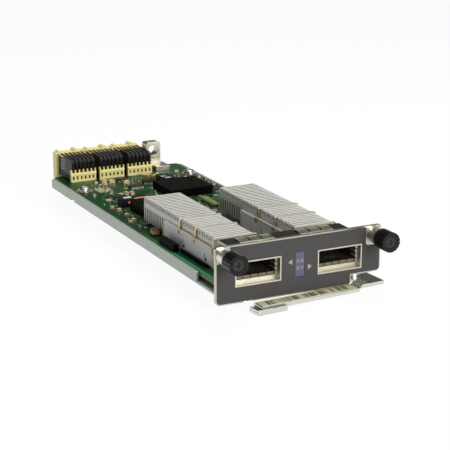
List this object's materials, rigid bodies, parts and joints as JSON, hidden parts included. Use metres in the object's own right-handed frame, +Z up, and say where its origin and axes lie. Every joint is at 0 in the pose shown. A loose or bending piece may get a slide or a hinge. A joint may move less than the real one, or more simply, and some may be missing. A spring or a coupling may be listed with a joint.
{
  "type": "switch line card",
  "caption": "Network switch line card with transceiver ports, finned heat sinks, captive thumbscrews, an ejector lever and rear backplane connectors.",
  "frame": {"origin": "middle of the faceplate's lower edge, on its rear face, which seats against the chassis", "axes": "+X to the right seen from the front, +Y into the chassis from the faceplate to the rear connectors, +Z up"},
  "size_m": [0.0732, 0.202, 0.0267],
  "materials": {
    "faceplate_grey": "satin grey print over bare metal",
    "zinc_sheet": "zinc-plated sheet",
    "board_green": "green solder mask",
    "turned_steel": "turned, plated",
    "screw_steel": "nickel-plated",
    "guide_zinc": "die-cast",
    "violet_plastic": "smoked violet",
    "contact_spring": "spring finger strip",
    "nickel_sheet": "nickel-plated sheet",
    "label_film": "plain film",
    "black_plastic": "moulded",
    "sink_aluminium": "clear anodised",
    "spring_steel": "sheet and wire",
    "ferrule_nickel": "bright nickel",
    "knob_black": "moulded, grooved",
    "cream_plastic": "moulded",
    "module_black": "moulded",
    "capacitor_tan": "moulded",
    "inductor_grey": "pressed powder"
  },
  "bodies": {
    "card": {"board_capacitors": "capacitor_tan", "board_chips": "module_black", "board_header": "black_plastic", "board_inductors": "inductor_grey", "board_screws": "screw_steel", "board_standoffs": "turned_steel", "circuit_board": "board_green", "contact_wafers_left": "black_plastic", "contact_wafers_middle": "black_plastic", "contact_wafers_right": "black_plastic", "faceplate": "faceplate_grey", "gasket_fingers_left": "contact_spring", "gasket_fingers_right": "contact_spring", "guide_block": "guide_zinc", "heat_sink_clip_left": "spring_steel", "heat_sink_clip_right": "spring_steel", "heat_sink_left": "sink_aluminium", "heat_sink_right": "sink_aluminium", "host_connector_left": "black_plastic", "host_connector_right": "black_plastic", "indicator_lens": "violet_plastic", "lever_stud": "turned_steel", "mating_housing_left": "cream_plastic", "mating_housing_middle": "cream_plastic", "mating_housing_right": "cream_plastic", "output_module": "module_black", "port_frame_left": "nickel_sheet", "port_frame_right": "nickel_sheet", "power_module": "module_black", "screw_ferrule_left": "ferrule_nickel", "screw_ferrule_right": "ferrule_nickel", "screw_spring_left": "spring_steel", "screw_spring_right": "spring_steel", "signal_relay": "module_black", "transceiver_cage_left": "nickel_sheet", "transceiver_cage_right": "nickel_sheet", "tray": "zinc_sheet", "wafer_organizer_left": "cream_plastic", "wafer_organizer_middle": "cream_plastic", "wafer_organizer_right": "cream_plastic"},
    "lever": {"ejector_lever": "nickel_sheet", "lever_label": "label_film"},
    "left_washer": {"thrust_washer_left": "turned_steel"},
    "right_washer": {"thrust_washer_right": "turned_steel"},
    "left_knob": {"screw_knob_left": "knob_black", "captive_screw_left": "screw_steel"},
    "right_knob": {"screw_knob_right": "knob_black", "captive_screw_right": "screw_steel"}
  },
  "joints": [
    {"name": "lever_swing", "type": "hinge", "parent": "card", "child": "lever", "pos_m": [0.0285, 0.0068, 0.002], "axis": [0, 0, 1], "range_deg": [-4.2, 75]},
    {"name": "left_screw_push", "type": "slide", "parent": "card", "child": "left_washer", "axis": [0, 1, 0], "range_m": [0, 0.0025], "stiffness_N_per_m": 900, "springref_m": -0.001, "deforming": ["screw_spring_left"]},
    {"name": "left_screw_turn", "type": "hinge", "parent": "left_washer", "child": "left_knob", "pos_m": [-0.0326, -0.01, 0.0193], "axis": [0, 1, 0], "continuous": true},
    {"name": "right_screw_push", "type": "slide", "parent": "card", "child": "right_washer", "axis": [0, 1, 0], "range_m": [0, 0.0025], "stiffness_N_per_m": 900, "springref_m": -0.001, "deforming": ["screw_spring_right"]},
    {"name": "right_screw_turn", "type": "hinge", "parent": "right_washer", "child": "right_knob", "pos_m": [0.0326, -0.01, 0.0193], "axis": [0, 1, 0], "continuous": true}
  ]
}
